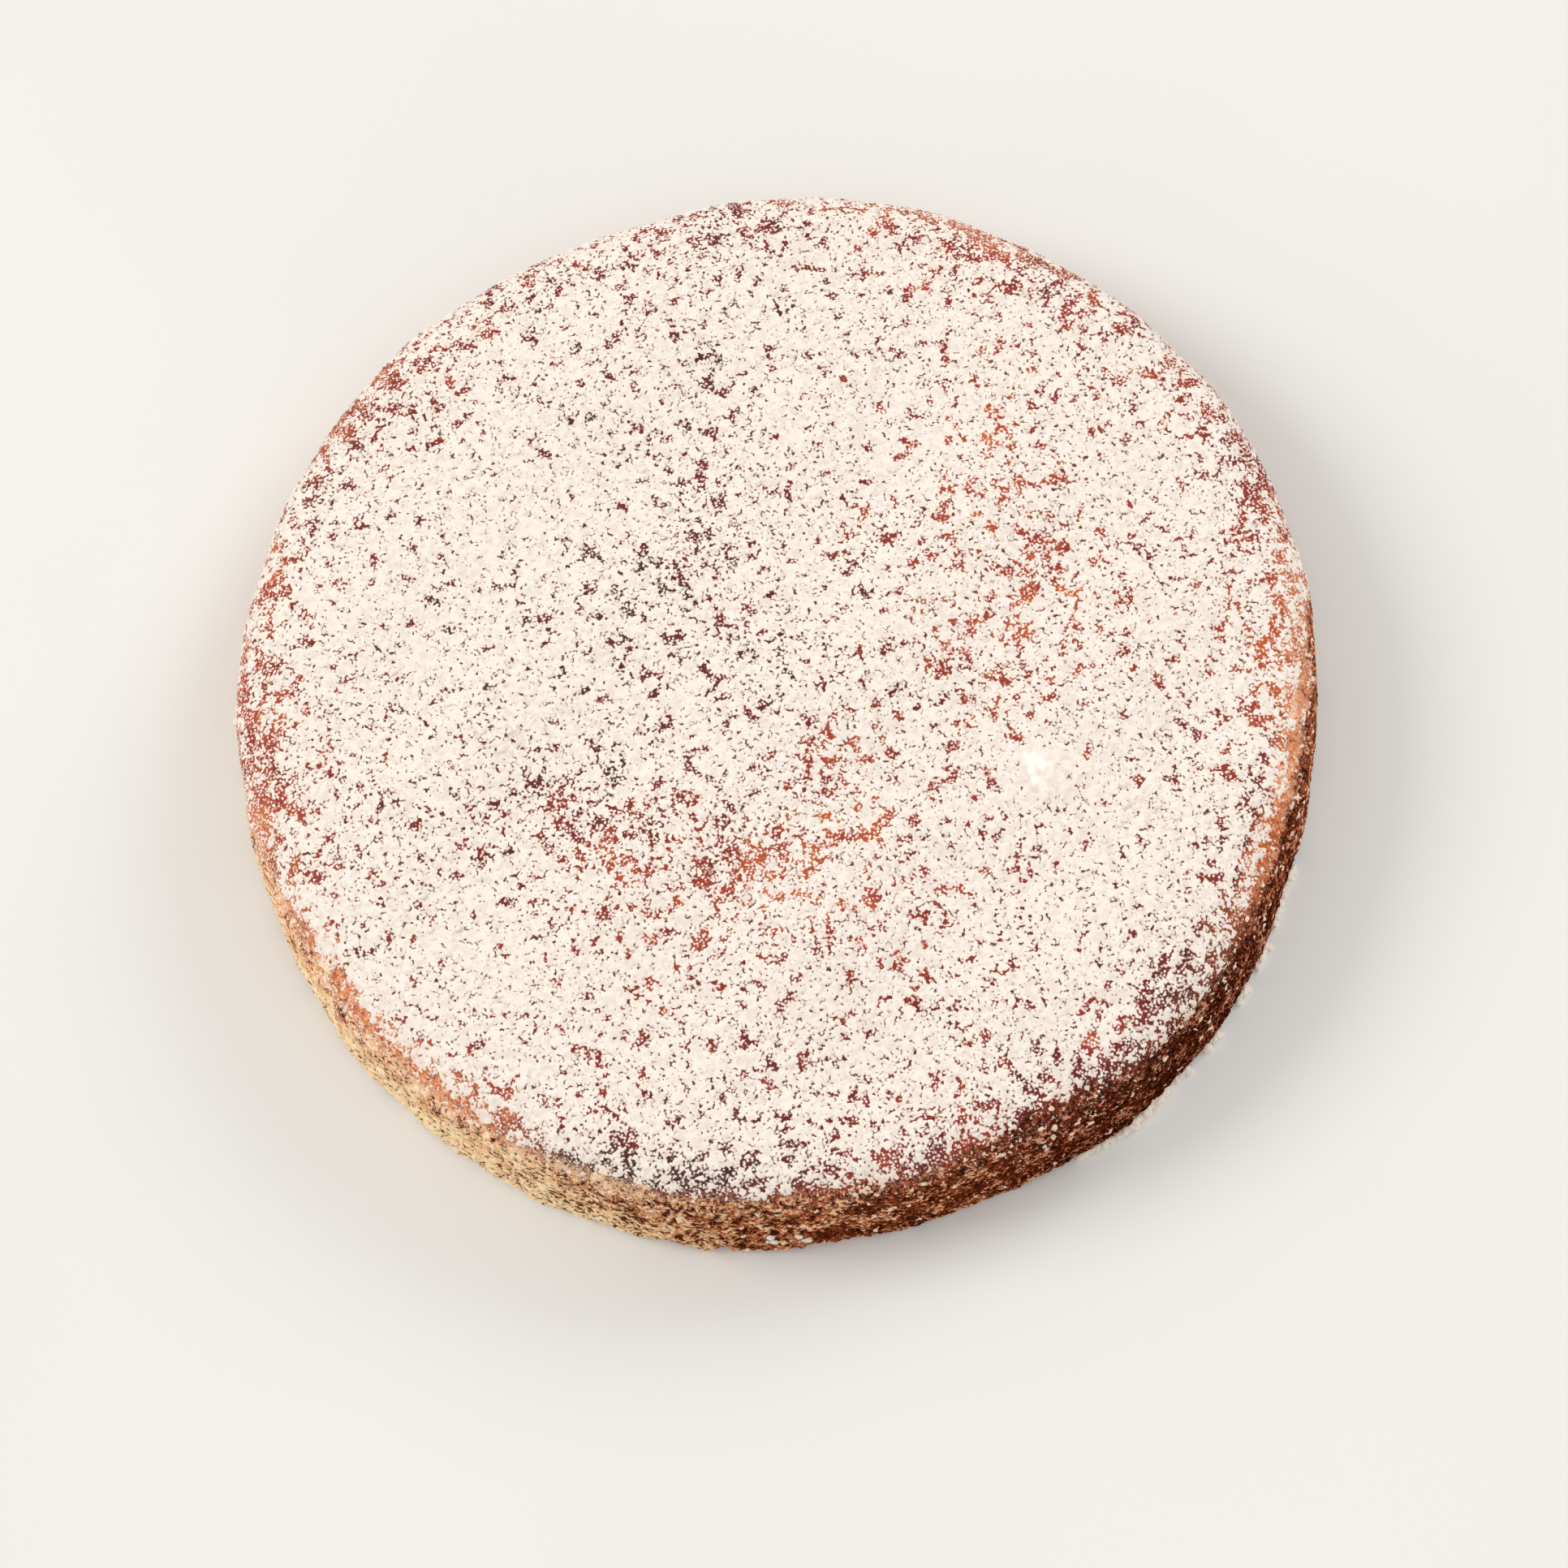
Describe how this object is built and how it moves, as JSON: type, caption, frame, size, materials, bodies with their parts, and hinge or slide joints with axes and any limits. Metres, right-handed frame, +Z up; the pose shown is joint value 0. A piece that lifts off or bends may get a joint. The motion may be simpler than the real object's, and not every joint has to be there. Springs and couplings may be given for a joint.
{
  "type": "orange cake",
  "caption": "Round, low orange cake with a crumbly browned crust and a clumpy dusting of icing sugar over its gently domed top.",
  "frame": {"origin": "middle of the cake's flat foot, the bottom centre of its box", "axes": "+Z up through the low round cake, its shortest extent; +Y towards the far edge seen from the front"},
  "size_m": [0.227, 0.228, 0.0333],
  "materials": {
    "sugared_crust": "matte, powdery sugar over a dry browned crust"
  },
  "bodies": {
    "root": {"cake": "sugared_crust"}
  },
  "joints": []
}
